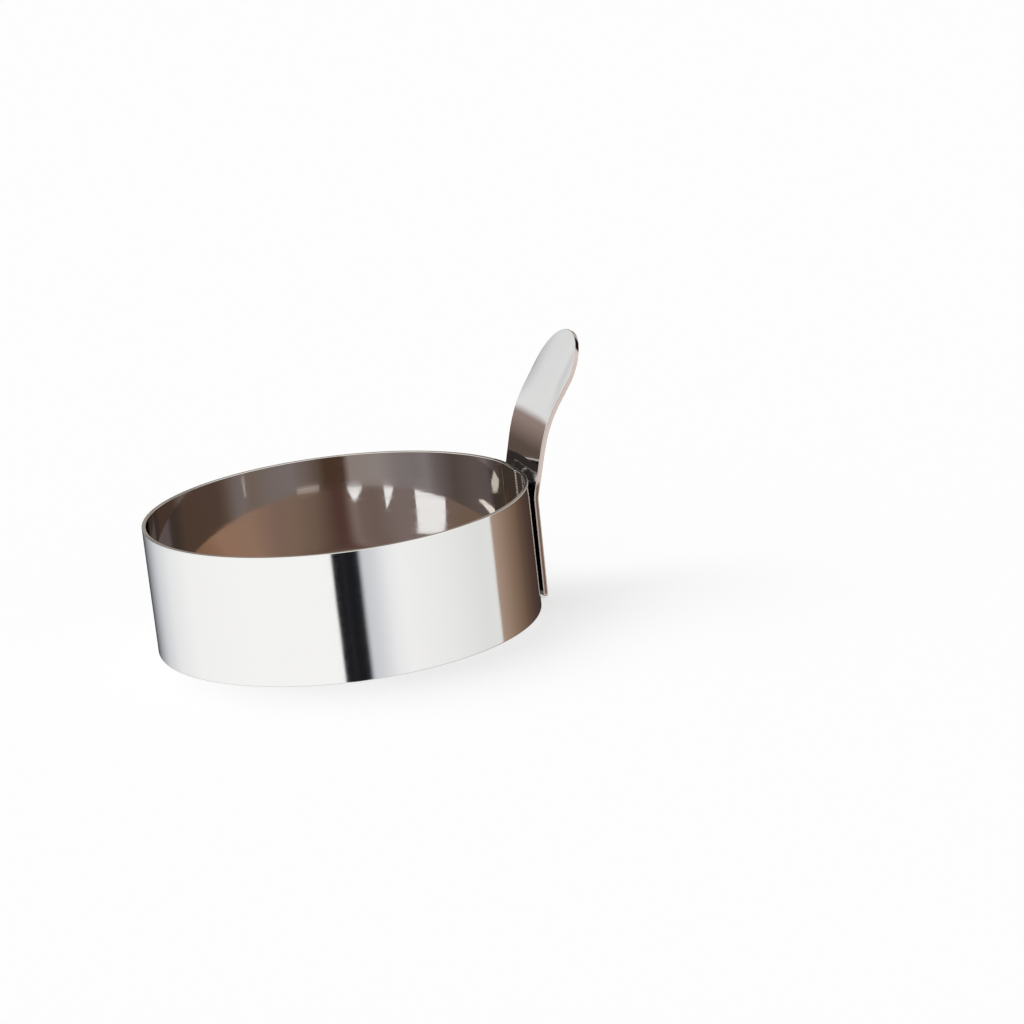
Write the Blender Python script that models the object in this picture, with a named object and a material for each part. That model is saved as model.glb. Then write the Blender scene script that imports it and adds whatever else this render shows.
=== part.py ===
"""Egg ring of polished stainless steel, standing on its lower rim with its handle towards +X.

A strip is rolled into a ring and its two ends are butt welded on a short flat. The foot of a bent
tab handle stands against that flat, over the seam, and two spot welds hold it there. Nothing on
an egg ring moves. Lengths are in metres, +Z is up, and the origin is the middle of the underside
of the box that holds the whole object.
"""

import math

import bmesh
import bpy

# Rolled band
RING_DIAMETER = 0.075  # outside, where the band is round
BAND_HEIGHT = 0.025
BAND_WALL = 0.0008
RIM_ROUNDING = 0.00015
BAND_FACETS = 144  # round the whole circle

# Flat behind the handle
FLAT_WIDTH = 0.009  # straight part, between its two blends
FLAT_BLEND_RADIUS = 0.012
BLEND_FACETS = 5

# Butt weld that closes the band
SEAM_INSET = 0.0023  # middle of the seam, from the -Y end of the straight part
SEAM_BEAD_WIDTH = 0.0008
SEAM_BEAD_CROWN = 0.0002  # how far the bead stands proud inside the ring
BEAD_FACETS = 6

# Handle, a blank cut from sheet and bent twice; its lengths run along the inner face
HANDLE_THICKNESS = 0.0009
FOOT_WIDTH = 0.017
TAB_WIDTH = 0.019  # where the round end begins
FOOT_LIFT = 0.0003  # lower end of the foot above the lower rim
FOOT_CORNER_RADIUS = 0.0006
FOOT_RUN = 0.0195
NECK_BEND_RADIUS = 0.006
NECK_BEND_ANGLE = math.radians(14.2)
NECK_RUN = 0.0081
TAB_BEND_RADIUS = 0.034
TAB_BEND_ANGLE = math.radians(19.2)
TAB_RUN = 0.0129
EDGE_ROUNDING = 0.00025
BEND_FACET_ANGLE = math.radians(2.4)
CORNER_FACETS = 4
ROUND_END_FACETS = 36

# Spot welds between the foot and the flat
SPOT_WELD_DIAMETER = 0.0034
SPOT_WELD_DEPTH = 0.00025  # how far a nugget reaches into each sheet
SPOT_WELD_EDGE = 0.0055  # lower nugget, from the lower end of the foot
SPOT_WELD_PITCH = 0.0085
SPOT_WELD_FACETS = 32

# Clearances that keep the solids apart
FOOT_CLEARANCE = 0.0003
WELD_CLEARANCE = 0.0002

RING_RADIUS = RING_DIAMETER / 2
SEAM_GAP = SEAM_BEAD_WIDTH + 2 * WELD_CLEARANCE


def clear_scene():
    """Removes whatever the scene opened with."""
    for item in list(bpy.data.objects):
        bpy.data.objects.remove(item, do_unlink=True)


def steel(name, colour, roughness):
    """A bare metal with one colour and one roughness."""
    material = bpy.data.materials.new(name)
    material.use_nodes = True
    shader = material.node_tree.nodes["Principled BSDF"]
    shader.inputs["Base Color"].default_value = (*colour, 1.0)
    shader.inputs["Metallic"].default_value = 1.0
    shader.inputs["Roughness"].default_value = roughness
    return material


def add_piece(name, form, material, ring_axis):
    """Turns a bmesh into a named object that stands on the ring's axis."""
    mesh = bpy.data.meshes.new(name)
    form.to_mesh(mesh)
    form.free()
    mesh.materials.append(material)
    mesh.shade_smooth()
    mesh.set_sharp_from_angle(angle=math.radians(30))
    piece = bpy.data.objects.new(name, mesh)
    bpy.context.collection.objects.link(piece)
    piece.parent = ring_axis
    return piece


def thicken(piece, thickness):
    """Gives a sheet its thickness, on the side that its faces turn away from."""
    wall = piece.modifiers.new("Sheet thickness", "SOLIDIFY")
    wall.thickness = thickness
    wall.offset = -1.0
    wall.use_even_offset = True


def round_edges(piece, width):
    """Rounds the cut edges of a sheet and leaves its rolled facets alone."""
    rounding = piece.modifiers.new("Polished edges", "BEVEL")
    rounding.width = width
    rounding.segments = 2
    rounding.limit_method = "ANGLE"
    rounding.angle_limit = math.radians(40)


def cut_pockets(piece, cutters):
    """Sinks a pocket into the piece for each spot weld."""
    for cutter in cutters:
        pocket = piece.modifiers.new("Pocket for " + cutter.name, "BOOLEAN")
        pocket.operation = "DIFFERENCE"
        pocket.object = cutter


def arc(centre, radius, start, end, facets):
    """Points of an arc in a plane, with both of its ends."""
    turn = (end - start) / facets
    angles = [start + turn * step for step in range(facets + 1)]
    return [
        (centre[0] + radius * math.cos(angle), centre[1] + radius * math.sin(angle))
        for angle in angles
    ]


def flat_distance():
    """From the ring's axis to the outer face of the flat, which its blends join to the circle."""
    blend_reach = RING_RADIUS - FLAT_BLEND_RADIUS
    return FLAT_BLEND_RADIUS + math.sqrt(blend_reach**2 - (FLAT_WIDTH / 2) ** 2)


def seam_place():
    """Y of the middle of the seam."""
    return SEAM_INSET - FLAT_WIDTH / 2


def band_line():
    """The band's outer face seen from above, from one end of the strip round to the other."""
    flat = flat_distance()
    blend_x = flat - FLAT_BLEND_RADIUS
    half_flat = FLAT_WIDTH / 2
    blend_angle = math.atan2(half_flat, blend_x)
    round_angle = 2 * math.pi - 2 * blend_angle
    round_facets = 2 * round(BAND_FACETS * round_angle / (4 * math.pi))
    line = [(flat, seam_place() + SEAM_GAP / 2)]
    line += arc((blend_x, half_flat), FLAT_BLEND_RADIUS, 0, blend_angle, BLEND_FACETS)
    line += arc((0, 0), RING_RADIUS, blend_angle, blend_angle + round_angle, round_facets)[1:-1]
    line += arc((blend_x, -half_flat), FLAT_BLEND_RADIUS, -blend_angle, 0, BLEND_FACETS)
    line += [(flat, seam_place() - SEAM_GAP / 2)]
    return line


def make_ring_band(material, ring_axis, cutters):
    """The rolled strip: its line from above is drawn up to full height and thickened inwards."""
    sheet = bmesh.new()
    line = [sheet.verts.new((x, y, 0)) for x, y in band_line()]
    edges = [sheet.edges.new(ends) for ends in zip(line, line[1:])]
    drawn = bmesh.ops.extrude_edge_only(sheet, edges=edges)["geom"]
    upper = [item for item in drawn if isinstance(item, bmesh.types.BMVert)]
    bmesh.ops.translate(sheet, verts=upper, vec=(0, 0, BAND_HEIGHT))
    bmesh.ops.recalc_face_normals(sheet, faces=sheet.faces)
    band = add_piece("ring_band", sheet, material, ring_axis)
    thicken(band, BAND_WALL)
    round_edges(band, RIM_ROUNDING)
    cut_pockets(band, cutters)
    return band


def make_seam_weld(material, ring_axis):
    """The bead between the strip's ends, flush outside and crowned inside."""
    flat = flat_distance()
    crown_radius = (SEAM_BEAD_WIDTH**2 / 4 + SEAM_BEAD_CROWN**2) / (2 * SEAM_BEAD_CROWN)
    crown_centre = (flat - BAND_WALL - SEAM_BEAD_CROWN + crown_radius, seam_place())
    half_angle = math.asin(SEAM_BEAD_WIDTH / (2 * crown_radius))
    section = arc(crown_centre, crown_radius, math.pi - half_angle, math.pi + half_angle, BEAD_FACETS)
    section += [(flat, seam_place() - SEAM_BEAD_WIDTH / 2), (flat, seam_place() + SEAM_BEAD_WIDTH / 2)]
    bead = bmesh.new()
    lower = bead.faces.new([bead.verts.new((x, y, 0)) for x, y in section])
    drawn = bmesh.ops.extrude_face_region(bead, geom=[lower])["geom"]
    upper = [item for item in drawn if isinstance(item, bmesh.types.BMVert)]
    bmesh.ops.translate(bead, verts=upper, vec=(0, 0, BAND_HEIGHT))
    bmesh.ops.recalc_face_normals(bead, faces=bead.faces)
    return add_piece("seam_weld", bead, material, ring_axis)


def handle_stretches():
    """The handle's straight runs and bends from the foot up, each a length and the angle it turns."""
    return [
        (FOOT_RUN, 0.0),
        (NECK_BEND_RADIUS * NECK_BEND_ANGLE, NECK_BEND_ANGLE),
        (NECK_RUN, 0.0),
        (TAB_BEND_RADIUS * TAB_BEND_ANGLE, TAB_BEND_ANGLE),
        (TAB_RUN, 0.0),
    ]


def handle_profile(distance):
    """X, Z and lean from upright of the handle's inner face, a distance along it from the foot."""
    x = flat_distance() + FOOT_CLEARANCE
    z = FOOT_LIFT
    lean = 0.0
    for length, turn in handle_stretches():
        travelled = min(distance, length)
        distance -= travelled
        if turn:
            radius = length / turn
            start = lean
            lean += travelled / radius
            x += radius * (math.cos(start) - math.cos(lean))
            z += radius * (math.sin(lean) - math.sin(start))
        else:
            x += travelled * math.sin(lean)
            z += travelled * math.cos(lean)
    return x, z, lean


def handle_length():
    """Length of the flat blank."""
    return sum(length for length, turn in handle_stretches())


def handle_blank():
    """Outline of the flat blank: small corners at the foot, a slow flare and a full round end."""
    half_foot = FOOT_WIDTH / 2
    half_tab = TAB_WIDTH / 2
    corner = FOOT_CORNER_RADIUS
    quarter = math.pi / 2
    outline = arc((corner, corner - half_foot), corner, -2 * quarter, -quarter, CORNER_FACETS)
    outline += arc((handle_length() - half_tab, 0), half_tab, -quarter, quarter, ROUND_END_FACETS)
    outline += arc((corner, half_foot - corner), corner, quarter, 2 * quarter, CORNER_FACETS)
    return outline


def bend_lines():
    """Distances along the blank at which the two bends are creased."""
    lines = []
    start = 0.0
    for length, turn in handle_stretches():
        if turn:
            facets = math.ceil(turn / BEND_FACET_ANGLE)
            lines += [start + length * step / facets for step in range(facets + 1)]
        start += length
    return lines


def make_tab_handle(material, ring_axis, cutters):
    """The blank is laid out flat, creased at its bend lines, bent up and thickened outwards."""
    sheet = bmesh.new()
    sheet.faces.new([sheet.verts.new((along, across, 0)) for along, across in handle_blank()])
    for distance in bend_lines():
        whole = sheet.verts[:] + sheet.edges[:] + sheet.faces[:]
        bmesh.ops.bisect_plane(sheet, geom=whole, plane_co=(distance, 0, 0), plane_no=(1, 0, 0))
    for point in sheet.verts:
        x, z, lean = handle_profile(point.co.x)
        point.co = (x, point.co.y, z)
    sheet.normal_update()
    handle = add_piece("tab_handle", sheet, material, ring_axis)
    thicken(handle, HANDLE_THICKNESS)
    round_edges(handle, EDGE_ROUNDING)
    cut_pockets(handle, cutters)
    return handle


def spot_weld_heights():
    """Z of each spot weld, by name."""
    lower = FOOT_LIFT + SPOT_WELD_EDGE
    return {"spot_weld_lower": lower, "spot_weld_upper": lower + SPOT_WELD_PITCH}


def spot_weld_y():
    """Halfway between the seam's edge and the far end of the flat, so that both sheets are sound."""
    return (seam_place() + SEAM_GAP / 2 + FLAT_WIDTH / 2) / 2


def make_disc(name, clearance, height, material, ring_axis):
    """A disc lying across the joint of foot and flat, larger than the nugget by a clearance."""
    span = FOOT_CLEARANCE + 2 * (SPOT_WELD_DEPTH + clearance)
    radius = SPOT_WELD_DIAMETER / 2 + clearance
    form = bmesh.new()
    bmesh.ops.create_cone(
        form,
        cap_ends=True,
        segments=SPOT_WELD_FACETS,
        radius1=radius,
        radius2=radius,
        depth=span,
    )
    disc = add_piece(name, form, material, ring_axis)
    disc.location = (flat_distance() + FOOT_CLEARANCE / 2, spot_weld_y(), height)
    disc.rotation_euler = (0, math.radians(90), 0)
    return disc


def make_spot_welds(material, ring_axis):
    """The nuggets, each with the cutter for its pocket in both sheets. Returns the cutters."""
    cutters = []
    for name, height in spot_weld_heights().items():
        make_disc(name, 0.0, height, material, ring_axis)
        cutter = make_disc(name + "_cutter", WELD_CLEARANCE, height, material, ring_axis)
        cutter.hide_render = True
        cutter.display_type = "WIRE"
        cutters.append(cutter)
    return cutters


def tip_reach():
    """From the ring's axis to the furthest point of the handle's end."""
    x, z, lean = handle_profile(handle_length())
    return x + HANDLE_THICKNESS * math.cos(lean)


def build():
    clear_scene()
    polished_steel = steel("polished_steel", (0.80, 0.79, 0.77), 0.08)
    dressed_weld = steel("dressed_weld", (0.72, 0.70, 0.67), 0.25)
    ring_axis = bpy.data.objects.new("ring_axis", None)
    bpy.context.collection.objects.link(ring_axis)
    ring_axis.location.x = (RING_RADIUS - tip_reach()) / 2
    cutters = make_spot_welds(dressed_weld, ring_axis)
    make_ring_band(polished_steel, ring_axis, cutters)
    make_seam_weld(dressed_weld, ring_axis)
    make_tab_handle(polished_steel, ring_axis, cutters)


build()
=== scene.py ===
# %% [markdown]
# # A polished egg ring with a bent tab handle
#
# An egg ring is two pieces of sheet steel: a strip rolled into a ring, and a tab that stands
# against it as a handle. Both are polished until they mirror the room, so this scene is half about
# two clean shapes and half about what the steel can see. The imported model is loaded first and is
# never moved; every new piece below stands where its solid stands.

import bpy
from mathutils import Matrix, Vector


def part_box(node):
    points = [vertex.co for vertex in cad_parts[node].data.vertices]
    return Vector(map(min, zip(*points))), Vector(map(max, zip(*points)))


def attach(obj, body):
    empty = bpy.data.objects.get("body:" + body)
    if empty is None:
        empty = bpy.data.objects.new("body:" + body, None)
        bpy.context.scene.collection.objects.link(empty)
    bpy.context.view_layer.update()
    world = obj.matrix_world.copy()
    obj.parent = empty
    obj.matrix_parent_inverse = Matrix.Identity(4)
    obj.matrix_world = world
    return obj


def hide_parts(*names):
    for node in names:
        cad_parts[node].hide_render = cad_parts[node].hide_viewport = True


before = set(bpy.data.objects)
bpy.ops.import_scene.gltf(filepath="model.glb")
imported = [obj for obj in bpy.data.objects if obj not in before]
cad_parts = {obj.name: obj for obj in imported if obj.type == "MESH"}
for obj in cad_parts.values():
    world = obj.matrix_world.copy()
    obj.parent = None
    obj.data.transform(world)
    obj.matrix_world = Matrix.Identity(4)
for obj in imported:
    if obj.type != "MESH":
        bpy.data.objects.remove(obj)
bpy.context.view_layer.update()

# %% Libraries
import math

import bmesh
import bpy
from mathutils import Matrix, Vector, noise

MM = 0.001

# %% [markdown]
# ## Measure the solids
#
# The ring's outside diameter, its height and the place of its flat can be read off the boxes of
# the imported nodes, so that a new pack moves the pieces with it. Only what a box can't tell, such as
# the wall's thickness, is written down again.

# %% Sizes of the ring
band_low, band_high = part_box("ring_band")
RING_RADIUS = (band_high.y - band_low.y) / 2
BAND_HEIGHT = band_high.z
AXIS_X = band_low.x + RING_RADIUS
FLAT_X = band_high.x - AXIS_X
WALL = 0.8 * MM
RIM_ROUNDING = 0.15 * MM
FLAT_HALF_WIDTH = 4.5 * MM
FLAT_BLEND_RADIUS = 12 * MM
SEAM_Y = -2.2 * MM
print("ring radius", round(RING_RADIUS / MM, 2), "mm, axis at x", round(AXIS_X / MM, 2), "mm")

# %% Sizes of the handle
handle_low, handle_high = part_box("tab_handle")
HANDLE_THICKNESS = 0.9 * MM
FOOT_HALF_WIDTH = 8.5 * MM
TAB_HALF_WIDTH = (handle_high.y - handle_low.y) / 2
FOOT_CORNER_RADIUS = 0.6 * MM
NECK_BEND = math.radians(14.2)
TAB_BEND = math.radians(19.2)
HANDLE_RUNS = [
    (19.5 * MM, 0.0),
    (6.0 * MM * NECK_BEND, NECK_BEND),
    (8.1 * MM, 0.0),
    (34.0 * MM * TAB_BEND, TAB_BEND),
    (12.9 * MM, 0.0),
]
HANDLE_LENGTH = sum(length for length, turn in HANDLE_RUNS)
print("the handle's blank is", round(HANDLE_LENGTH / MM, 1), "mm long")

# %% Places of the spot welds
weld_boxes = [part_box(name) for name in ("spot_weld_lower", "spot_weld_upper")]
WELD_CENTRES = [(low + high) / 2 for low, high in weld_boxes]
WELD_MARK_RADIUS = 2.1 * MM
WELD_MARK_DEPTH = 0.07 * MM
print("spot welds at z", [round(centre.z / MM, 1) for centre in WELD_CENTRES], "mm")

# %% [markdown]
# ## The camera
#
# A photograph tells where its camera stood. The ring's rim is a circle of known size, so the
# ellipse that it draws gives the scale, the elevation and the roll. The distance hardly shows with
# so long a lens, so it is an estimate. The camera is aimed so that the middle of the upper rim lands
# on the same pixel.

# %% Camera
PICTURE_SIZE = 1024
SENSOR_WIDTH = 36.0
LENS = 127.44
RIM_CENTRE_PIXEL = (334.96, 501.63)
CAMERA_DEPTH = 700 * MM
CAMERA_AZIMUTH = math.radians(-18)
CAMERA_ELEVATION = math.radians(14.94)
CAMERA_ROLL = math.radians(6.34)


def photo_camera():
    """Stands the camera so that the upper rim's centre falls on its pixel."""
    data = bpy.data.cameras.new("photo_camera")
    data.lens = LENS
    data.sensor_width = SENSOR_WIDTH
    data.clip_start = 0.01
    camera = bpy.data.objects.new("photo_camera", data)
    bpy.context.collection.objects.link(camera)
    turn = Matrix.Rotation(CAMERA_AZIMUTH, 4, "Z")
    turn @= Matrix.Rotation(math.pi / 2 - CAMERA_ELEVATION, 4, "X")
    turn @= Matrix.Rotation(-CAMERA_ROLL, 4, "Z")
    metres_per_pixel = CAMERA_DEPTH * SENSOR_WIDTH / (LENS * PICTURE_SIZE)
    right = (RIM_CENTRE_PIXEL[0] - PICTURE_SIZE / 2) * metres_per_pixel
    up = (PICTURE_SIZE / 2 - RIM_CENTRE_PIXEL[1]) * metres_per_pixel
    rim_centre = Vector((AXIS_X, 0, BAND_HEIGHT))
    camera.matrix_world = turn
    camera.location = rim_centre - turn.to_3x3() @ Vector((right, up, -CAMERA_DEPTH))
    bpy.context.scene.camera = camera
    return camera


camera = photo_camera()
print("camera at", [round(value, 3) for value in camera.location])

# %% [markdown]
# ## Helpers for materials
#
# A finish is a small graph of nodes. These helpers add a node with its settings in one line, so
# that each finish below reads as a list of what it does.


# %% Node helpers
def add_node(tree, kind, **settings):
    """Adds a node. A setting names a property, or an input when the node has no such property."""
    node = tree.nodes.new(kind)
    for name, value in settings.items():
        if hasattr(node, name):
            setattr(node, name, value)
        else:
            node.inputs[name.replace("_", " ")].default_value = value
    return node


def new_material(name):
    """A node material with its shader and its output already joined."""
    material = bpy.data.materials.new(name)
    material.use_nodes = True
    return material, material.node_tree, material.node_tree.nodes["Principled BSDF"]


def streaks(tree, stretch):
    """Noise on Object coordinates, stretched into lines. A larger stretch is finer, in 1/metre."""
    place = add_node(tree, "ShaderNodeTexCoord")
    scale = add_node(tree, "ShaderNodeMapping", Scale=stretch)
    pattern = add_node(tree, "ShaderNodeTexNoise", Scale=1.0, Detail=3.0, Roughness=0.6)
    tree.links.new(place.outputs["Object"], scale.inputs["Vector"])
    tree.links.new(scale.outputs["Vector"], pattern.inputs["Vector"])
    return pattern.outputs["Fac"]


def spread(tree, value, low, high, start=0.3, end=0.7):
    """Maps what lies between start and end onto a range. These are the middle of a noise."""
    node = add_node(tree, "ShaderNodeMapRange")
    node.inputs["From Min"].default_value = start
    node.inputs["From Max"].default_value = end
    node.inputs["To Min"].default_value = low
    node.inputs["To Max"].default_value = high
    tree.links.new(value, node.inputs["Value"])
    return node.outputs["Result"]


def bump(tree, shader, height, distance):
    """Puts a height, in metres once scaled by the distance, on the shader's normal."""
    node = add_node(tree, "ShaderNodeBump", Strength=1.0, Distance=distance)
    tree.links.new(height, node.inputs["Height"])
    tree.links.new(node.outputs["Normal"], shader.inputs["Normal"])


# %% [markdown]
# ## The steel
#
# All of the ring is one stainless steel, but each face was finished its own way. The outside was
# buffed to a mirror. The inside kept fine lines that run round it, from the belt that polished it.
# The cut rims are a little duller. Their darker, browner colour is a painted reflection of warm
# shade, and near the seam weld they get a darker painted shade where the handle stands by them. Each
# finish is metal, the faces with nearly no colour, and its lines are noise stretched round the ring:
# very fine upwards, long sideways. The handle's edge was sheared and only brushed, so it is duller
# than its faces; its darker, warmer colour is a painted reflection of warm shade.

# %% Steel finishes
STEEL_COLOUR = (0.90, 0.895, 0.885)


def steel_finish(name, colour, lines, roughness, line_depth):
    """A metal whose lines change its roughness from one value to another and scratch it."""
    material, tree, shader = new_material(name)
    shader.inputs["Metallic"].default_value = 1.0
    shader.inputs["Base Color"].default_value = (*colour, 1)
    pattern = streaks(tree, lines)
    tree.links.new(spread(tree, pattern, *roughness), shader.inputs["Roughness"])
    bump(tree, shader, pattern, line_depth)
    return material


mirror_outside = steel_finish(
    "mirror_outside", STEEL_COLOUR, (25, 25, 5000), (0.05, 0.09), 0.0003 * MM
)
belt_inside = steel_finish(
    "belt_inside", (0.79, 0.765, 0.745), (14, 14, 1100), (0.03, 0.09), 0.0006 * MM
)
# The rim's darker, browner colour is a painted reflection of warm shade.
cut_rim = steel_finish("cut_rim", (0.61, 0.54, 0.48), (900, 900, 900), (0.08, 0.14), 0.001 * MM)
mirror_handle = steel_finish(
    "mirror_handle", STEEL_COLOUR, (30, 4000, 30), (0.05, 0.08), 0.0003 * MM
)
# The edge's darker, warmer colour is a painted reflection of warm shade.
sheared_edge = steel_finish(
    "sheared_edge", (0.66, 0.56, 0.51), (400, 400, 400), (0.08, 0.12), 0.001 * MM
)
weld_bead = steel_finish("weld_bead", (0.86, 0.84, 0.80), (700, 700, 2500), (0.18, 0.3), 0.004 * MM)


def paint_shade_near(material, place, near, far, tint):
    """Painted shade round a place: the shade colour at its middle, the plain metal from a distance
    on.
    """
    tree = material.node_tree
    shader = tree.nodes["Principled BSDF"]
    where = add_node(tree, "ShaderNodeTexCoord")
    reach = add_node(tree, "ShaderNodeVectorMath", operation="DISTANCE")
    reach.inputs[1].default_value = place
    mix = add_node(tree, "ShaderNodeMix", data_type="RGBA")
    mix.inputs["A"].default_value = (*tint, 1)
    mix.inputs["B"].default_value = shader.inputs["Base Color"].default_value
    tree.links.new(where.outputs["Object"], reach.inputs[0])
    factor = spread(tree, reach.outputs["Value"], 0, 1, near, far)
    tree.links.new(factor, mix.inputs["Factor"])
    tree.links.new(mix.outputs["Result"], shader.inputs["Base Color"])


# Painted shade: the cut rim darkens to brown near the seam weld, where the handle stands beside it.
NECK_SHADE_COLOUR = (0.28, 0.23, 0.19)
NECK_SHADE_NEAR = 7 * MM
NECK_SHADE_FAR = 26 * MM
seam_top = Vector((AXIS_X + FLAT_X, SEAM_Y, BAND_HEIGHT))
paint_shade_near(cut_rim, seam_top, NECK_SHADE_NEAR, NECK_SHADE_FAR, NECK_SHADE_COLOUR)
print("finishes:", [material.name for material in bpy.data.materials if material.use_nodes])

# %% [markdown]
# ## The band
#
# The real band is a strip drawn round a former. Its section is a tall, thin rectangle with its
# corners broken. So one section is made, then it is run along the flat, turned round the blend,
# and spun about the ring's axis for half a turn. A mirror makes the other half. This keeps every
# wall face upright and evenly spaced, which matters, because a mirror shows each crooked normal.


# %% From a form to a piece
MERGE_DISTANCE = 0.0005 * MM


def link_piece(name, form, materials, nodes):
    """Makes a mesh object that rides on the body and stands for the nodes."""
    bmesh.ops.remove_doubles(form, verts=form.verts, dist=MERGE_DISTANCE)
    bmesh.ops.recalc_face_normals(form, faces=form.faces)
    mesh = bpy.data.meshes.new(name)
    form.to_mesh(mesh)
    form.free()
    for material in materials:
        mesh.materials.append(material)
    mesh.shade_smooth()
    piece = bpy.data.objects.new(name, mesh)
    bpy.context.collection.objects.link(piece)
    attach(piece, "root")
    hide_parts(*nodes)
    print(name, "has", sum(len(face.vertices) - 2 for face in mesh.polygons), "triangles")
    return piece


# %% Band section
RIM_STEPS = 4
RIM_MARGIN = 0.06 * MM
WALL_ROWS = 40


def band_section():
    """The strip's section in the plane y = 0, with rounded corners and rows up its walls."""
    form = bmesh.new()
    bmesh.ops.create_grid(form, x_segments=1, y_segments=1, size=0.5)
    bmesh.ops.scale(form, vec=(WALL, BAND_HEIGHT, 1), verts=form.verts)
    bmesh.ops.rotate(form, matrix=Matrix.Rotation(math.pi / 2, 3, "X"), verts=form.verts)
    bmesh.ops.translate(form, vec=(FLAT_X - WALL / 2, 0, BAND_HEIGHT / 2), verts=form.verts)
    bmesh.ops.bevel(
        form, geom=form.verts[:], offset=RIM_ROUNDING, offset_type="OFFSET",
        segments=RIM_STEPS, profile=0.5, affect="VERTICES", material=-1,
    )
    bmesh.ops.delete(form, geom=form.faces[:], context="FACES_ONLY")
    margin = RIM_ROUNDING + RIM_MARGIN
    step = (BAND_HEIGHT - 2 * margin) / WALL_ROWS
    for row in range(WALL_ROWS + 1):
        level = (0, 0, margin + step * row)
        everything = form.verts[:] + form.edges[:]
        bmesh.ops.bisect_plane(form, geom=everything, plane_co=level, plane_no=(0, 0, 1))
    return form


# %% [markdown]
# `spin` needs the edges to draw and gives back the last copy of them, so the three stretches are
# chained: what one leaves behind is where the next one starts.


# %% Helpers that draw a section on
def only_edges(geometry):
    """The edges of what an operator gives back."""
    return [item for item in geometry if isinstance(item, bmesh.types.BMEdge)]


def spin_on(form, edges, centre, angle, steps):
    """Draws the edges round an upright axis and returns the last copy."""
    drawn = bmesh.ops.spin(
        form, geom=edges, cent=(*centre, 0), axis=(0, 0, 1), angle=angle, steps=steps
    )
    return only_edges(drawn["geom_last"])


def run_on(form, edges, vector, steps):
    """Draws the edges along a line and returns the last copy."""
    drawn = bmesh.ops.spin(
        form, geom=edges, cent=(0, 0, 0), axis=(0, 0, 1), dvec=vector / steps, angle=0, steps=steps
    )
    return only_edges(drawn["geom_last"])


# %% Sway of the band and marks of the welder
# Each sway is a depth and how fast it changes, in 1/metre.
BAND_SWAYS = [(0.009 * MM, 60), (0.003 * MM, 190)]


def band_sway(place):
    """A few thousandths of a millimetre, which bend the reflections as in rolled strip."""
    return sum(depth * noise.noise(Vector(place) * pace) for depth, pace in BAND_SWAYS)


def weld_mark(y, z):
    """Depth of the shallow marks that the spot welder's tips left."""
    depth = 0.0
    for centre in WELD_CENTRES:
        reach = math.hypot(y - centre.y, z - centre.z) / WELD_MARK_RADIUS
        if reach < 1:
            depth += WELD_MARK_DEPTH * (1 - reach**2) ** 2
    return depth


# %% Band
FLAT_STEPS = 14
BLEND_STEPS = 8
ROUND_STEPS = 180
MIRROR_MERGE = 0.001 * MM
INNER_SLACK = 0.01 * MM
# A face counts as inside or outside when it is turned this far that way, and else as a rim.
WALL_FACING = 0.8


def make_band():
    """Draws the section round the ring, sways it, and gives each face its finish."""
    form = band_section()
    blend_x = FLAT_X - FLAT_BLEND_RADIUS
    blend_turn = math.atan2(FLAT_HALF_WIDTH, blend_x)
    edges = run_on(form, form.edges[:], Vector((0, FLAT_HALF_WIDTH, 0)), FLAT_STEPS)
    edges = spin_on(form, edges, (blend_x, FLAT_HALF_WIDTH), blend_turn, BLEND_STEPS)
    spin_on(form, edges, (0, 0), math.pi - blend_turn, ROUND_STEPS)
    whole = form.verts[:] + form.edges[:] + form.faces[:]
    bmesh.ops.mirror(form, geom=whole, axis="Y", merge_dist=MIRROR_MERGE)
    for point in form.verts:
        radial = Vector((point.co.x, point.co.y, 0)).normalized()
        sway = band_sway(point.co)
        if FLAT_X - WALL - INNER_SLACK < point.co.x < FLAT_X - WALL / 2:
            sway += weld_mark(point.co.y, point.co.z)
        point.co += radial * sway
        point.co.x += AXIS_X
    bmesh.ops.recalc_face_normals(form, faces=form.faces)
    for face in form.faces:
        centre = face.calc_center_median()
        outward = Vector((centre.x - AXIS_X, centre.y, 0)).normalized()
        facing = face.normal.dot(outward)
        face.material_index = 0 if facing > WALL_FACING else 1 if facing < -WALL_FACING else 2
    materials = [mirror_outside, belt_inside, cut_rim]
    return link_piece("band", form, materials, ["ring_band"])


band = make_band()

# %% [markdown]
# ## The seam
#
# The strip's two ends are butt welded. Outside, the weld is ground flush and hidden by the handle.
# Inside, it shows as one thin upright line that catches the light, because a low crown stands
# proud there. It is an oval rod, half sunk in the wall, whose width breathes with the weld's
# ripples.

# %% Seam bead
BEAD_HALF_WIDTH = 0.42 * MM
BEAD_CROWN = 0.2 * MM
BEAD_MARGIN = 0.05 * MM
BEAD_SIDES = 20
BEAD_STEPS = 220
BEAD_RIPPLE = 0.07
BEAD_RIPPLE_PITCH = 0.55 * MM
BEAD_UNEVENNESS = 0.12
BEAD_UNEVEN_PACE = 400


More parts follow.
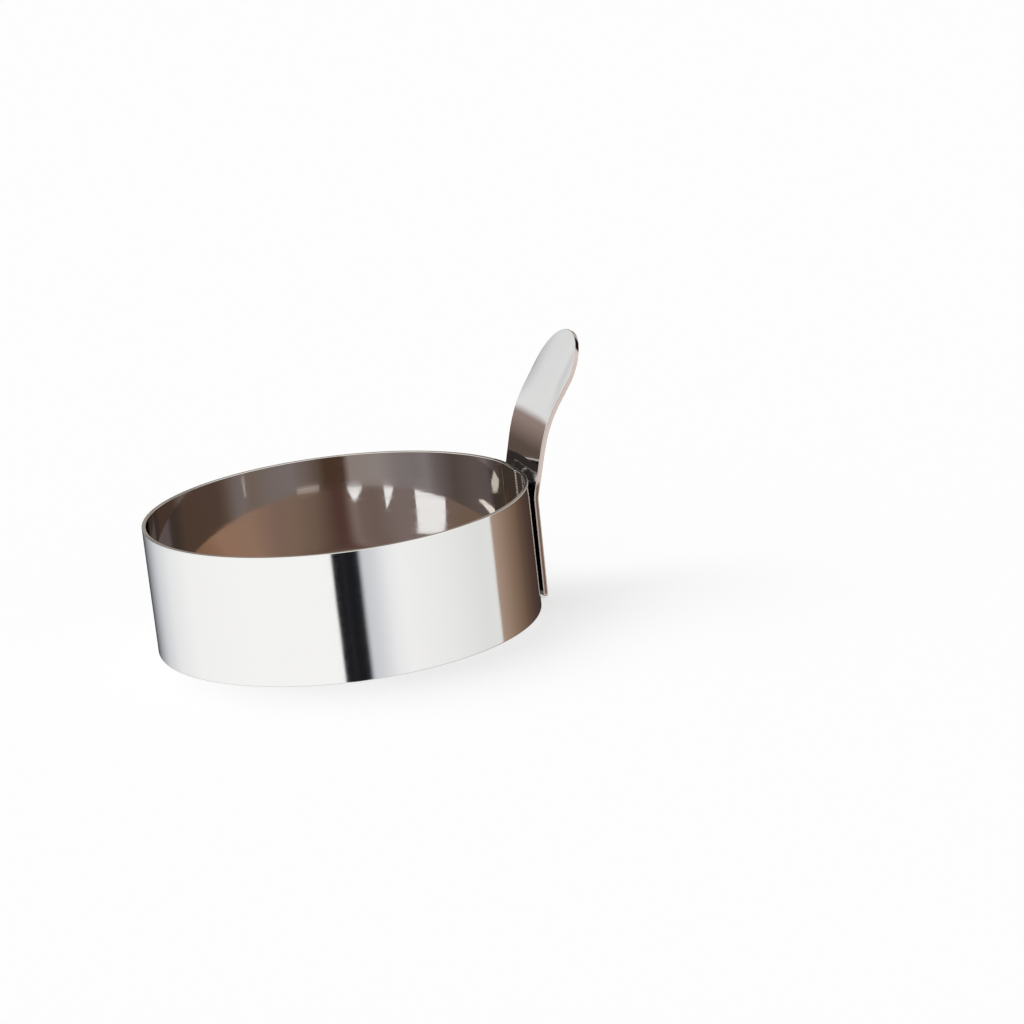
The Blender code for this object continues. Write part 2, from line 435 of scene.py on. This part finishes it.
def make_seam_bead():
    """Draws an oval up the wall and lets its width breathe."""
    form = bmesh.new()
    bmesh.ops.create_circle(form, cap_ends=True, segments=BEAD_SIDES, radius=1.0)
    bmesh.ops.scale(form, vec=(BEAD_CROWN, BEAD_HALF_WIDTH, 1), verts=form.verts)
    rise = Vector((0, 0, (BAND_HEIGHT - 2 * BEAD_MARGIN) / BEAD_STEPS))
    bmesh.ops.spin(
        form, geom=form.verts[:] + form.edges[:] + form.faces[:], cent=(0, 0, 0), axis=(0, 0, 1),
        dvec=rise, angle=0, steps=BEAD_STEPS,
    )
    for point in form.verts:
        ripple = 1 + BEAD_RIPPLE * math.sin(2 * math.pi * point.co.z / BEAD_RIPPLE_PITCH)
        ripple += BEAD_UNEVENNESS * noise.noise(Vector((0, 0, point.co.z * BEAD_UNEVEN_PACE)))
        point.co.x = point.co.x * ripple + AXIS_X + FLAT_X - WALL
        point.co.y = point.co.y * ripple + SEAM_Y
        point.co.z += BEAD_MARGIN
    return link_piece("seam_bead", form, [weld_bead], ["seam_weld"])


seam_bead = make_seam_bead()

# %% [markdown]
# ## The handle
#
# The handle is a flat blank with a full round end, bent twice. It is modelled the way it is made:
# the blank is drawn flat, thickened, its edges are rounded, and only then is it bent. While it is
# flat, x runs along it from the foot, y across it and z through its thickness, so every cut is
# a simple one. The last step carries each point round the bends.


# %% Handle blank
TIP_STEPS = 28
CORNER_STEPS = 6
TOUCHING = 0.001 * MM


def handle_blank():
    """The outline of the blank as one flat face: half is drawn and mirrored."""
    form = bmesh.new()
    tip = form.verts.new((HANDLE_LENGTH, 0, 0))
    bmesh.ops.spin(
        form, geom=[tip], cent=(HANDLE_LENGTH - TAB_HALF_WIDTH, 0, 0), axis=(0, 0, 1),
        angle=math.pi / 2, steps=TIP_STEPS,
    )
    last = min(form.verts, key=lambda point: point.co.x)
    for corner in ((0, FOOT_HALF_WIDTH, 0), (0, 0, 0)):
        drawn = bmesh.ops.extrude_vert_indiv(form, verts=[last])
        last = drawn["verts"][0]
        last.co = corner
    bmesh.ops.mirror(form, geom=form.verts[:] + form.edges[:], axis="Y", merge_dist=TOUCHING)
    bmesh.ops.contextual_create(form, geom=form.edges[:])
    foot_corners = [point for point in form.verts if point.co.x < TOUCHING and point.co.y]
    bmesh.ops.bevel(
        form, geom=foot_corners, offset=FOOT_CORNER_RADIUS, offset_type="OFFSET",
        segments=CORNER_STEPS, profile=0.5, affect="VERTICES", material=-1,
    )
    middle = [point for point in form.verts if abs(point.co.y) < TOUCHING and point.co.x < MM]
    bmesh.ops.dissolve_verts(form, verts=middle)
    return form


# %% [markdown]
# The rim of the blank gets an inset loop before it is thickened. The loop keeps the rounding of the
# edge from pulling at the shading of the flat face, so the face stays a clean mirror.


# %% Thickness of the handle
EDGE_ROUNDING = 0.1 * MM
EDGE_STEPS = 5
LOOP_MARGIN = 0.08 * MM
# In radians. The blank's sides meet its faces at more than this, and nothing else does.
SHARP_ANGLE = 1


def thicken_blank(form):
    """Gives the flat blank its thickness and rounds both of its edges."""
    bmesh.ops.inset_region(
        form, faces=form.faces[:], thickness=EDGE_ROUNDING + LOOP_MARGIN, use_even_offset=True
    )
    drawn = bmesh.ops.extrude_face_region(form, geom=form.faces[:])["geom"]
    upper = [item for item in drawn if isinstance(item, bmesh.types.BMVert)]
    bmesh.ops.translate(form, vec=(0, 0, HANDLE_THICKNESS), verts=upper)
    bmesh.ops.recalc_face_normals(form, faces=form.faces)
    sharp = [edge for edge in form.edges if edge.calc_face_angle(0) > SHARP_ANGLE]
    bmesh.ops.bevel(
        form, geom=sharp, offset=EDGE_ROUNDING, offset_type="OFFSET", segments=EDGE_STEPS,
        profile=0.5, affect="EDGES", material=-1,
    )


# %% [markdown]
# A bend needs points to move, so the blank is cut across and along. A cut takes in the points that
# lie on it, within a small distance. Without that, rounding decides on which side they fall, and
# the mesh can come out a little different from run to run.


# %% Grid of the handle
GRID_PITCH = 0.3 * MM
ON_THE_CUT = 0.002 * MM


def cut_grid(form):
    """Cuts the blank across and along at an even pitch."""
    for axis, first, last in ((0, 0, HANDLE_LENGTH), (1, -TAB_HALF_WIDTH, TAB_HALF_WIDTH)):
        normal = [0, 0, 0]
        normal[axis] = 1
        steps = round((last - first) / GRID_PITCH)
        for step in range(1, steps):
            level = [0, 0, 0]
            level[axis] = first + (last - first) * step / steps
            everything = form.verts[:] + form.edges[:] + form.faces[:]
            bmesh.ops.bisect_plane(
                form, geom=everything, dist=ON_THE_CUT, plane_co=level, plane_no=normal
            )


# %% Bends of the handle
CROWN = 0.3 * MM
CROWN_START = 34 * MM
CROWN_END = 45 * MM
FOOT_END = 20 * MM
HANDLE_SWAY = 0.01 * MM
HANDLE_SWAY_PACE = 90


def handle_profile(distance):
    """X, z and lean of the inner face, a distance along it from the foot."""
    x, z, lean = handle_low.x, handle_low.z, 0.0
    for length, turn in HANDLE_RUNS:
        travelled = min(distance, length)
        distance -= travelled
        if turn:
            radius = length / turn
            start = lean
            lean += travelled / radius
            x += radius * (math.cos(start) - math.cos(lean))
            z += radius * (math.sin(lean) - math.sin(start))
        else:
            x += travelled * math.sin(lean)
            z += travelled * math.cos(lean)
    return x, z, lean


def bend_point(point):
    """Carries a point of the flat blank round the bends."""
    along, across, depth = point
    x, z, lean = handle_profile(max(0.0, along))
    crowned = min(1.0, max(0.0, (along - CROWN_START) / (CROWN_END - CROWN_START)))
    crowned = crowned * crowned * (3 - 2 * crowned)
    depth += CROWN * crowned * abs(across / TAB_HALF_WIDTH) ** 4
    if depth > HANDLE_THICKNESS / 2 and along < FOOT_END:
        depth -= weld_mark(across, z)
    depth += HANDLE_SWAY * noise.noise(Vector((along, across, 0)) * HANDLE_SWAY_PACE)
    return Vector((x + depth * math.cos(lean), across, z - depth * math.sin(lean)))


# %% Handle
# While the blank is flat, a face turned less than this upwards or downwards belongs to its edge.
FACE_FACING = 0.8


def make_handle():
    """Makes the flat blank, marks its edge for its own finish, and bends it."""
    form = handle_blank()
    thicken_blank(form)
    cut_grid(form)
    for face in form.faces:
        face.normal_update()
        face.material_index = 1 if abs(face.normal.z) < FACE_FACING else 0
    for point in form.verts:
        point.co = bend_point(point.co)
    finishes = [mirror_handle, sheared_edge]
    return link_piece("handle", form, finishes, ["tab_handle"])


handle = make_handle()

# %% [markdown]
# ## The spot welds
#
# Two nuggets join the foot to the flat. They lie between the two sheets and only their rims can be
# seen from the side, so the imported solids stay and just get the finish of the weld.

# %% Spot welds
for name in ("spot_weld_lower", "spot_weld_upper"):
    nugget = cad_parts[name]
    nugget.data.materials.clear()
    nugget.data.materials.append(weld_bead)
print("nuggets keep their solids")

# %% [markdown]
# ## The studio
#
# Polished steel has no look of its own: it shows the room. The room is a white studio with
# a narrow black flag beside the camera, a brown side at the right and a dark gap at the back. The
# world gives the steel that room, for glossy rays only. The camera sees plain white, and the floor
# is lit by an even, soft light.

# %% Studio colours
# Each stop is an angle in degrees round the ring, from the camera towards the right, and a colour.
WHITE = (1.0, 1.0, 1.0)
BLACK = (0.012, 0.012, 0.014)
FLAG = [
    (-4.0, WHITE),
    (-3.2, BLACK),
    (1.6, BLACK),
    (3.2, (0.022, 0.023, 0.028)),
    (4.6, BLACK),
    (9.6, BLACK),
    (11.0, (0.028, 0.03, 0.038)),
    (12.2, BLACK),
    (13.0, (0.60, 0.62, 0.66)),
]
BELOW = [
    (-180, (0.02, 0.02, 0.024)),
    (-168, (0.04, 0.04, 0.05)),
    (-157, (0.22, 0.23, 0.25)),
    (-137, (0.66, 0.67, 0.70)),
    (-121, (0.85, 0.86, 0.87)),
    (-100, (0.97, 0.97, 0.97)),
    (-60, WHITE),
    *FLAG,
    (20, (0.70, 0.71, 0.74)),
    (29, (0.89, 0.89, 0.91)),
    (36, (0.95, 0.95, 0.95)),
    (60, (0.90, 0.90, 0.90)),
    (92, (0.79, 0.80, 0.79)),
    (102.5, (0.81, 0.81, 0.80)),
    (104, (0.40, 0.29, 0.225)),
    (121, (0.25, 0.165, 0.115)),
    (137, (0.13, 0.08, 0.055)),
    (148, (0.085, 0.05, 0.04)),
    (160, (0.06, 0.04, 0.03)),
    (180, (0.04, 0.03, 0.03)),
]
HORIZON = [
    (-180, (0.07, 0.06, 0.055)),
    (-150, (0.085, 0.06, 0.05)),
    (-125, (0.12, 0.085, 0.07)),
    (-100, (0.6, 0.6, 0.6)),
    (-70, WHITE),
    *FLAG,
    (36, (0.95, 0.95, 0.95)),
    (102.5, (0.81, 0.81, 0.80)),
    (104, (0.40, 0.29, 0.225)),
    (180, (0.10, 0.09, 0.085)),
]
HAZE = [
    (-180, (0.20, 0.18, 0.165)),
    (-160, (0.27, 0.21, 0.19)),
    (-125, (0.30, 0.22, 0.19)),
    (-100, (0.7, 0.7, 0.7)),
    (-70, WHITE),
    *FLAG,
    (36, (0.95, 0.95, 0.95)),
    (102.5, (0.85, 0.85, 0.85)),
    (120, (0.5, 0.45, 0.42)),
    (180, (0.20, 0.18, 0.165)),
]
BACKDROP = [
    (-180, (0.46, 0.43, 0.40)),
    (-165, (0.46, 0.45, 0.44)),
    (-152, (0.54, 0.55, 0.57)),
    (-146, (0.65, 0.66, 0.68)),
    (-143, (0.75, 0.755, 0.76)),
    (-141, (0.79, 0.79, 0.79)),
    (-139, (0.76, 0.76, 0.765)),
    (-136.5, (0.64, 0.645, 0.66)),
    (-130, (0.74, 0.745, 0.76)),
    (-110, (0.85, 0.85, 0.86)),
    (-90, WHITE),
    *FLAG,
    (36, WHITE),
    (110, (0.90, 0.90, 0.90)),
    (150, (0.70, 0.68, 0.66)),
    (168, (0.46, 0.43, 0.40)),
]
SHADE = [
    (-180, (0.16, 0.145, 0.13)),
    (-165, (0.045, 0.04, 0.035)),
    (-147, (0.045, 0.04, 0.035)),
    (-138, (0.66, 0.67, 0.68)),
    (-105, WHITE),
    (140, (0.9, 0.9, 0.9)),
    (168, (0.3, 0.28, 0.26)),
]
ABOVE = [
    (-180, (0.5, 0.5, 0.5)),
    (-105, WHITE),
    (100, WHITE),
    (107, BLACK),
    (146, BLACK),
    (155, (0.6, 0.6, 0.6)),
]
OVERHEAD = [(-180, (0.95, 0.94, 0.93))]
# Elevations, in degrees, between which one ring of colours gives way to the next.
STUDIO_RINGS = [
    (BELOW, None, None),
    (HORIZON, -11, -7),
    (HAZE, -4, 2.5),
    (BACKDROP, 3.8, 5.8),
    (SHADE, 15.5, 17.5),
    (ABOVE, 22.5, 24.5),
    (OVERHEAD, 42, 53),
]
print("studio rings:", len(STUDIO_RINGS))


# %% Studio world
def ramp_of(tree, factor, stops):
    """A colour ramp whose stops are angles from -180 to 180 degrees."""
    node = add_node(tree, "ShaderNodeValToRGB")
    marks = node.color_ramp.elements
    while len(marks) > 1:
        marks.remove(marks[0])
    for index, (angle, colour) in enumerate(stops):
        mark = marks[0] if index == 0 else marks.new(angle / 360 + 0.5)
        mark.position = angle / 360 + 0.5
        mark.color = (*colour, 1)
    tree.links.new(factor, node.inputs["Fac"])
    return node.outputs["Color"]


def angle_factor(tree, vector):
    """The angle of a direction round the ring, as a place on a ramp, and the direction's parts."""
    turned = add_node(tree, "ShaderNodeVectorRotate", rotation_type="Z_AXIS")
    turned.inputs["Angle"].default_value = math.pi / 2 - CAMERA_AZIMUTH
    tree.links.new(vector, turned.inputs["Vector"])
    parts = add_node(tree, "ShaderNodeSeparateXYZ")
    tree.links.new(turned.outputs["Vector"], parts.inputs["Vector"])
    azimuth = add_node(tree, "ShaderNodeMath", operation="ARCTAN2")
    tree.links.new(parts.outputs["Y"], azimuth.inputs[0])
    tree.links.new(parts.outputs["X"], azimuth.inputs[1])
    return spread(tree, azimuth.outputs["Value"], 0, 1, -math.pi, math.pi), parts.outputs["Z"]


def studio_colour(tree):
    """The studio's colour in the direction that a ray leaves, ring over ring from the floor up."""
    direction = add_node(tree, "ShaderNodeTexCoord").outputs["Generated"]
    factor, rise = angle_factor(tree, direction)
    colour = None
    for stops, start, end in STUDIO_RINGS:
        ring = ramp_of(tree, factor, stops)
        if colour is None:
            colour = ring
            continue
        low, high = math.sin(math.radians(start)), math.sin(math.radians(end))
        mix = add_node(tree, "ShaderNodeMix", data_type="RGBA")
        tree.links.new(spread(tree, rise, 0, 1, low, high), mix.inputs["Factor"])
        tree.links.new(colour, mix.inputs["A"])
        tree.links.new(ring, mix.inputs["B"])
        colour = mix.outputs["Result"]
    return colour


# %% World for each kind of ray
AMBIENT_STRENGTH = 0.5


def make_world():
    """White to the camera, the studio to a reflection, and an even light to the floor."""
    world = bpy.data.worlds.new("studio")
    world.use_nodes = True
    bpy.context.scene.world = world
    tree = world.node_tree
    tree.nodes.clear()
    rays = add_node(tree, "ShaderNodeLightPath")
    seen = add_node(tree, "ShaderNodeBackground", Color=(1, 1, 1, 1), Strength=1.0)
    mirrored = add_node(tree, "ShaderNodeBackground", Strength=1.0)
    ambient = add_node(tree, "ShaderNodeBackground", Color=(1, 1, 1, 1))
    ambient.inputs["Strength"].default_value = AMBIENT_STRENGTH
    tree.links.new(studio_colour(tree), mirrored.inputs["Color"])
    first = add_node(tree, "ShaderNodeMixShader")
    second = add_node(tree, "ShaderNodeMixShader")
    output = add_node(tree, "ShaderNodeOutputWorld")
    tree.links.new(rays.outputs["Is Glossy Ray"], first.inputs["Fac"])
    tree.links.new(ambient.outputs["Background"], first.inputs[1])
    tree.links.new(mirrored.outputs["Background"], first.inputs[2])
    tree.links.new(rays.outputs["Is Camera Ray"], second.inputs["Fac"])
    tree.links.new(first.outputs["Shader"], second.inputs[1])
    tree.links.new(seen.outputs["Background"], second.inputs[2])
    tree.links.new(second.outputs["Shader"], output.inputs["Surface"])
    return world


world = make_world()
print("world has", len(world.node_tree.nodes), "nodes")

# %% Soft lamp
lamp_data = bpy.data.lights.new("soft_lamp", "SUN")
lamp_data.energy = 1.1
lamp_data.angle = math.radians(50)
soft_lamp = bpy.data.objects.new("soft_lamp", lamp_data)
bpy.context.collection.objects.link(soft_lamp)
soft_lamp.rotation_euler = (math.radians(-28), math.radians(-18), 0)
soft_lamp.visible_glossy = False
print("lamp of strength", round(lamp_data.energy, 2), "that no reflection shows")

# %% [markdown]
# ## The floor and the cards
#
# The floor is pale and shows the ring's soft shadow. The steel looks through it into the studio, as
# if the ring stood on clear glass, so the wall stays clean down to its lower rim. Inside the ring
# a dark card lies just below the floor, out of the camera's sight. It is a painted reflection of
# warm shade, which makes the inside read as a deep hollow. Windows in the card let three patches of
# the white studio through.
#
# Where the wall shows the wall opposite, it would mirror the dark card twice and be too dark. So
# a low apron of soft light stands round the inside, close to the wall, with a few brighter cards
# before it. The apron is a painted reflection of warm shade, and the brighter cards are painted
# highlights. They are one-sided and face the ring's axis: a reflection that travels outwards meets
# them, and one that leaves the wall behind them passes.

# %% Floor
FLOOR_SIZE = 6.0
FLOOR_COLOUR = (0.6, 0.6, 0.6)
FLOOR_GLOW = 0.51


def make_floor():
    """A square that glows a little, so that it is nearly white and still takes the shadow."""
    form = bmesh.new()
    bmesh.ops.create_grid(form, x_segments=1, y_segments=1, size=FLOOR_SIZE / 2)
    mesh = bpy.data.meshes.new("floor")
    form.to_mesh(mesh)
    form.free()
    floor = bpy.data.objects.new("floor", mesh)
    bpy.context.collection.objects.link(floor)
    floor.visible_glossy = False
    material, tree, shader = new_material("pale_floor")
    shader.inputs["Roughness"].default_value = 1.0
    shader.inputs["Specular IOR Level"].default_value = 0.0
    shader.inputs["Base Color"].default_value = (*FLOOR_COLOUR, 1)
    shader.inputs["Emission Color"].default_value = (1, 1, 1, 1)
    shader.inputs["Emission Strength"].default_value = FLOOR_GLOW
    mesh.materials.append(material)
    return floor


floor = make_floor()
print("floor of", FLOOR_SIZE, "metres")

# %% Dark card
CARD_DEPTH = 0.1 * MM
CARD_SIDES = 96
# Corners in millimetres from the ring's axis, x to the camera's right and y away from it.
CARD_WINDOWS = [
    [(-39, 8.2), (-7, 18.9), (-7, 14.1), (-38, -12.9)],
    [(-7.2, -21.5), (-16.5, -36), (-5.8, -38)],
    [(-15.8, -8.8), (-30.3, -23), (-26.3, -28)],
]
# Colours by the angle round this place, a painted reflection of warm shade. The angle runs as it does
# for the studio.
CARD_PIVOT = (-1, 19)
CARD_COLOURS = [
    (-104, (0.19, 0.125, 0.09)),
    (-60, (0.20, 0.145, 0.13)),
    (-48, (0.22, 0.17, 0.16)),
    (-36, (0.22, 0.17, 0.16)),
    (-20, (0.18, 0.13, 0.11)),
    (-12, (0.19, 0.14, 0.125)),
    (-8, (0.24, 0.18, 0.16)),
    (-2, (0.10, 0.05, 0.04)),
    (3, (0.095, 0.05, 0.04)),
    (15, (0.18, 0.12, 0.09)),
    (30, (0.23, 0.155, 0.115)),
    (42, (0.24, 0.155, 0.12)),
    (60, (0.32, 0.20, 0.14)),
    (92, (0.34, 0.20, 0.135)),
    (108, (0.28, 0.16, 0.10)),
    (180, (0.12, 0.08, 0.06)),
]
print("dark card with", len(CARD_WINDOWS), "windows and", len(CARD_COLOURS), "colours")

# %% Apron and other upright cards
APRON_GAP = 0.75
APRON_HEIGHT = 13 * MM
APRON_STEP = 2
# The apron's colours, a painted reflection of warm shade, go by the angle round the ring's axis.
APRON_COLOURS = [
    (-172, (0.055, 0.04, 0.035)),
    (-164, (0.12, 0.095, 0.09)),
    (-145, (0.13, 0.10, 0.095)),
    (-119, (0.10, 0.075, 0.065)),
    (-108, (0.13, 0.105, 0.10)),
    (-98, (0.17, 0.14, 0.14)),
    (-88, (0.24, 0.21, 0.22)),
    (-77, (0.22, 0.195, 0.195)),
    (-60, (0.24, 0.21, 0.21)),
    (-40, (0.315, 0.275, 0.26)),
    (-14, (0.31, 0.255, 0.235)),
    (-8, (0.08, 0.045, 0.03)),
    (9, (0.08, 0.045, 0.03)),
    (14, (0.11, 0.08, 0.06)),
    (24, (0.165, 0.12, 0.105)),
    (40, (0.215, 0.18, 0.175)),
    (60, (0.205, 0.17, 0.16)),
    (80, (0.19, 0.145, 0.12)),
    (92, (0.20, 0.165, 0.155)),
    (98, (0.185, 0.15, 0.14)),
    (110, (0.12, 0.08, 0.06)),
    (118, (0.095, 0.06, 0.045)),
    (165, (0.09, 0.055, 0.04)),
    (180, (0.05, 0.04, 0.03)),
]
BRIGHT_GAP = 0.95
# The bright cards before the apron are painted highlights. Their corners: an angle in degrees and a
# height in millimetres.
BRIGHT_CARDS = [
    ("dash", (0.52, 0.45, 0.40), [(16, 0.1), (37, 0.1), (37, 1.1), (27, 1.2), (16, 1.1)]),
    ("streak", (0.44, 0.39, 0.37), [(87, 3.8), (89, 3.8), (89.5, 8.6), (87, 8.6)]),
]
# Two more painted highlights stand farther off, turned so that only rays from the right meet them.
# Corners are places in the camera's directions with a height, all in millimetres.
LEAF_CARDS = [
    ("low_leaf", (0.95, 0.87, 0.80), [
        (-10.2, 29, 5.9), (-8.8, 30.9, 6.0), (-7.5, 32.6, 5.3), (-5.6, 35.2, 4.2), (-5.6, 35.2, 2.2),
        (-7.2, 33, 3.2), (-8, 31.9, 4.0), (-9, 30.6, 4.8),
    ]),
    ("high_leaf", (0.62, 0.58, 0.50), [
        (0.5, 34.4, 14.1), (2.2, 35.8, 12.2), (1.7, 35.5, 10.7), (0.9, 34.8, 9.5), (-0.7, 33.4, 9.0),
        (-1, 33.1, 11.3), (-0.3, 33.7, 12.6),
    ]),
]
# The other cards stand along lines of places, between two heights in millimetres. The foot card is
# a painted reflection of warm shade for the handle's foot. The shade keeps the high leaf from rays
# that run along the wall, or it would show three times.
LINE_CARDS = [
    ("foot_card", (0.25, 0.185, 0.15), [(44.5, -7.1), (47.3, -5.1)], -12, 19.8),
    ("leaf_shade", (0.06, 0.045, 0.035), [(9.3, 31.9), (12.45, 34.4)], 7.5, 17.5),
]
# Two more stand in the gap between the ring and the handle's neck. They are painted shade, which the
# steel shows as a dark gap.
GAP_CARDS = [
    ([(36.2, 6.6), (31.6, 20.8)], 25.02, 26.4),
    ([(31.35, 20.7), (34.7, 21.4)], 15, 26.4),
]
print("bright cards:", len(BRIGHT_CARDS) + len(LEAF_CARDS))


# %% Helpers for cards
def from_camera_side(corner):
    """A corner in the camera's directions as a place in the frame."""
    turned = Matrix.Rotation(CAMERA_AZIMUTH, 3, "Z") @ Vector((*corner, 0))
    return Vector((turned.x * MM + AXIS_X, turned.y * MM, 0))


def stage_mesh(name, form, material):
    """A studio piece that isn't part of the object and that only the steel sees."""
    mesh = bpy.data.meshes.new(name)
    form.to_mesh(mesh)
    form.free()
    mesh.materials.append(material)
    piece = bpy.data.objects.new(name, mesh)
    bpy.context.collection.objects.link(piece)
    for flag in ("camera", "diffuse", "transmission", "volume_scatter", "shadow"):
        setattr(piece, "visible_" + flag, False)
    return piece


def glow_material(name, colour, pivot=(0, 0), one_sided=False):
    """Emission only. The colour is three values, or a list of stops round the pivot."""
    material = bpy.data.materials.new(name)
    material.use_nodes = True
    tree = material.node_tree
    tree.nodes.clear()
    glow = add_node(tree, "ShaderNodeEmission", Strength=1.0)
    output = add_node(tree, "ShaderNodeOutputMaterial")
    surface = glow.outputs["Emission"]
    if one_sided:
        clear = add_node(tree, "ShaderNodeBsdfTransparent")
        side = add_node(tree, "ShaderNodeNewGeometry")
        mix = add_node(tree, "ShaderNodeMixShader")
        tree.links.new(side.outputs["Backfacing"], mix.inputs["Fac"])
        tree.links.new(surface, mix.inputs[1])
        tree.links.new(clear.outputs["BSDF"], mix.inputs[2])
        surface = mix.outputs["Shader"]
    tree.links.new(surface, output.inputs["Surface"])
    if isinstance(colour, tuple):
        glow.inputs["Color"].default_value = (*colour, 1)
        return material
    place = add_node(tree, "ShaderNodeTexCoord")
    arm = add_node(tree, "ShaderNodeVectorMath", operation="SUBTRACT")
    arm.inputs[1].default_value = from_camera_side(pivot)
    tree.links.new(place.outputs["Object"], arm.inputs[0])
    factor, rise = angle_factor(tree, arm.outputs["Vector"])
    tree.links.new(ramp_of(tree, factor, colour), glow.inputs["Color"])
    return material


def face_axis(form):
    """Turns each face so that its front looks at the ring's axis."""
    for face in form.faces:
        face.normal_update()
        centre = face.calc_center_median()
        if face.normal.dot(Vector((centre.x - AXIS_X, centre.y, 0))) > 0:
            face.normal_flip()


def line_card(name, places, low, high, material):
    """An upright card along a line of places, between two heights in millimetres."""
    form = bmesh.new()
    posts = []
    for place in places:
        foot = from_camera_side(place)
        posts.append([form.verts.new((foot.x, foot.y, z * MM)) for z in (low, high)])
    for here, there in zip(posts, posts[1:]):
        form.faces.new((here[0], here[1], there[1], there[0]))
    face_axis(form)
    return stage_mesh(name, form, material)


def wall_place(angle, gap):
    """A place before the inner wall, at an angle in degrees and a gap in millimetres."""
    radius = (RING_RADIUS - WALL) / MM - gap
    turn = math.radians(angle)
    return radius * math.sin(turn), -radius * math.cos(turn)


def corner_card(name, corners, material):
    """An upright card whose corners are places with a height, in millimetres."""
    form = bmesh.new()
    feet = [from_camera_side(corner[:2]) for corner in corners]
    points = [
        form.verts.new((foot.x, foot.y, corner[2] * MM)) for foot, corner in zip(feet, corners)
    ]
    form.faces.new(points)
    face_axis(form)
    return stage_mesh(name, form, material)


# %% Dark card with windows
def cut_window(form, corners):
    """Cuts along each side of a convex window and takes out what lies inside all of them."""
    places = [from_camera_side(corner) for corner in corners]
    middle = sum(places, Vector()) / len(places)
    sides = []
    for here, there in zip(places, places[1:] + places[:1]):
        inward = (there - here).cross(Vector((0, 0, 1)))
        if inward.dot(middle - here) < 0:
            inward.negate()
        sides.append((here, inward))
        everything = form.verts[:] + form.edges[:] + form.faces[:]
        bmesh.ops.bisect_plane(form, geom=everything, plane_co=here, plane_no=inward)
    inside = [
        face for face in form.faces
        if all(inward.dot(face.calc_center_median() - here) > 0 for here, inward in sides)
    ]
    bmesh.ops.delete(form, geom=inside, context="FACES")


def make_dark_card():
    """A disc just below the floor, as wide as the ring, with its windows cut out."""
    form = bmesh.new()
    place = Matrix.Translation((AXIS_X, 0, 0))
    bmesh.ops.create_circle(
        form, cap_ends=True, segments=CARD_SIDES, radius=RING_RADIUS - WALL / 2, matrix=place
    )
    for corners in CARD_WINDOWS:
        cut_window(form, corners)
    bmesh.ops.translate(form, vec=(0, 0, -CARD_DEPTH), verts=form.verts)
    paint = glow_material("dark_card", CARD_COLOURS, CARD_PIVOT)
    return stage_mesh("dark_card", form, paint)


dark_card = make_dark_card()
print("dark card has", len(dark_card.data.polygons), "faces")

# %% Upright cards
round_the_wall = [wall_place(angle, APRON_GAP) for angle in range(0, 360 + APRON_STEP, APRON_STEP)]
line_card(
    "apron", round_the_wall, 0, APRON_HEIGHT / MM,
    glow_material("apron", APRON_COLOURS, one_sided=True),
)
for name, colour, corners in BRIGHT_CARDS:
    corners = [(*wall_place(angle, BRIGHT_GAP), height) for angle, height in corners]
    corner_card(name, corners, glow_material(name, colour, one_sided=True))
for name, colour, corners in LEAF_CARDS:
    corner_card(name, corners, glow_material(name, colour, one_sided=True))
for name, colour, places, low, high in LINE_CARDS:
    line_card(name, places, low, high, glow_material(name, colour, one_sided=True))
GAP_COLOUR = (0.03, 0.025, 0.022)
dark = glow_material("dark", GAP_COLOUR)
for places, low, high in GAP_CARDS:
    line_card("gap_card", places, low, high, dark)

# %% [markdown]
#
# The Standard view shows a colour about as it is written.

# %% Finish
bpy.context.scene.view_settings.view_transform = "Standard"
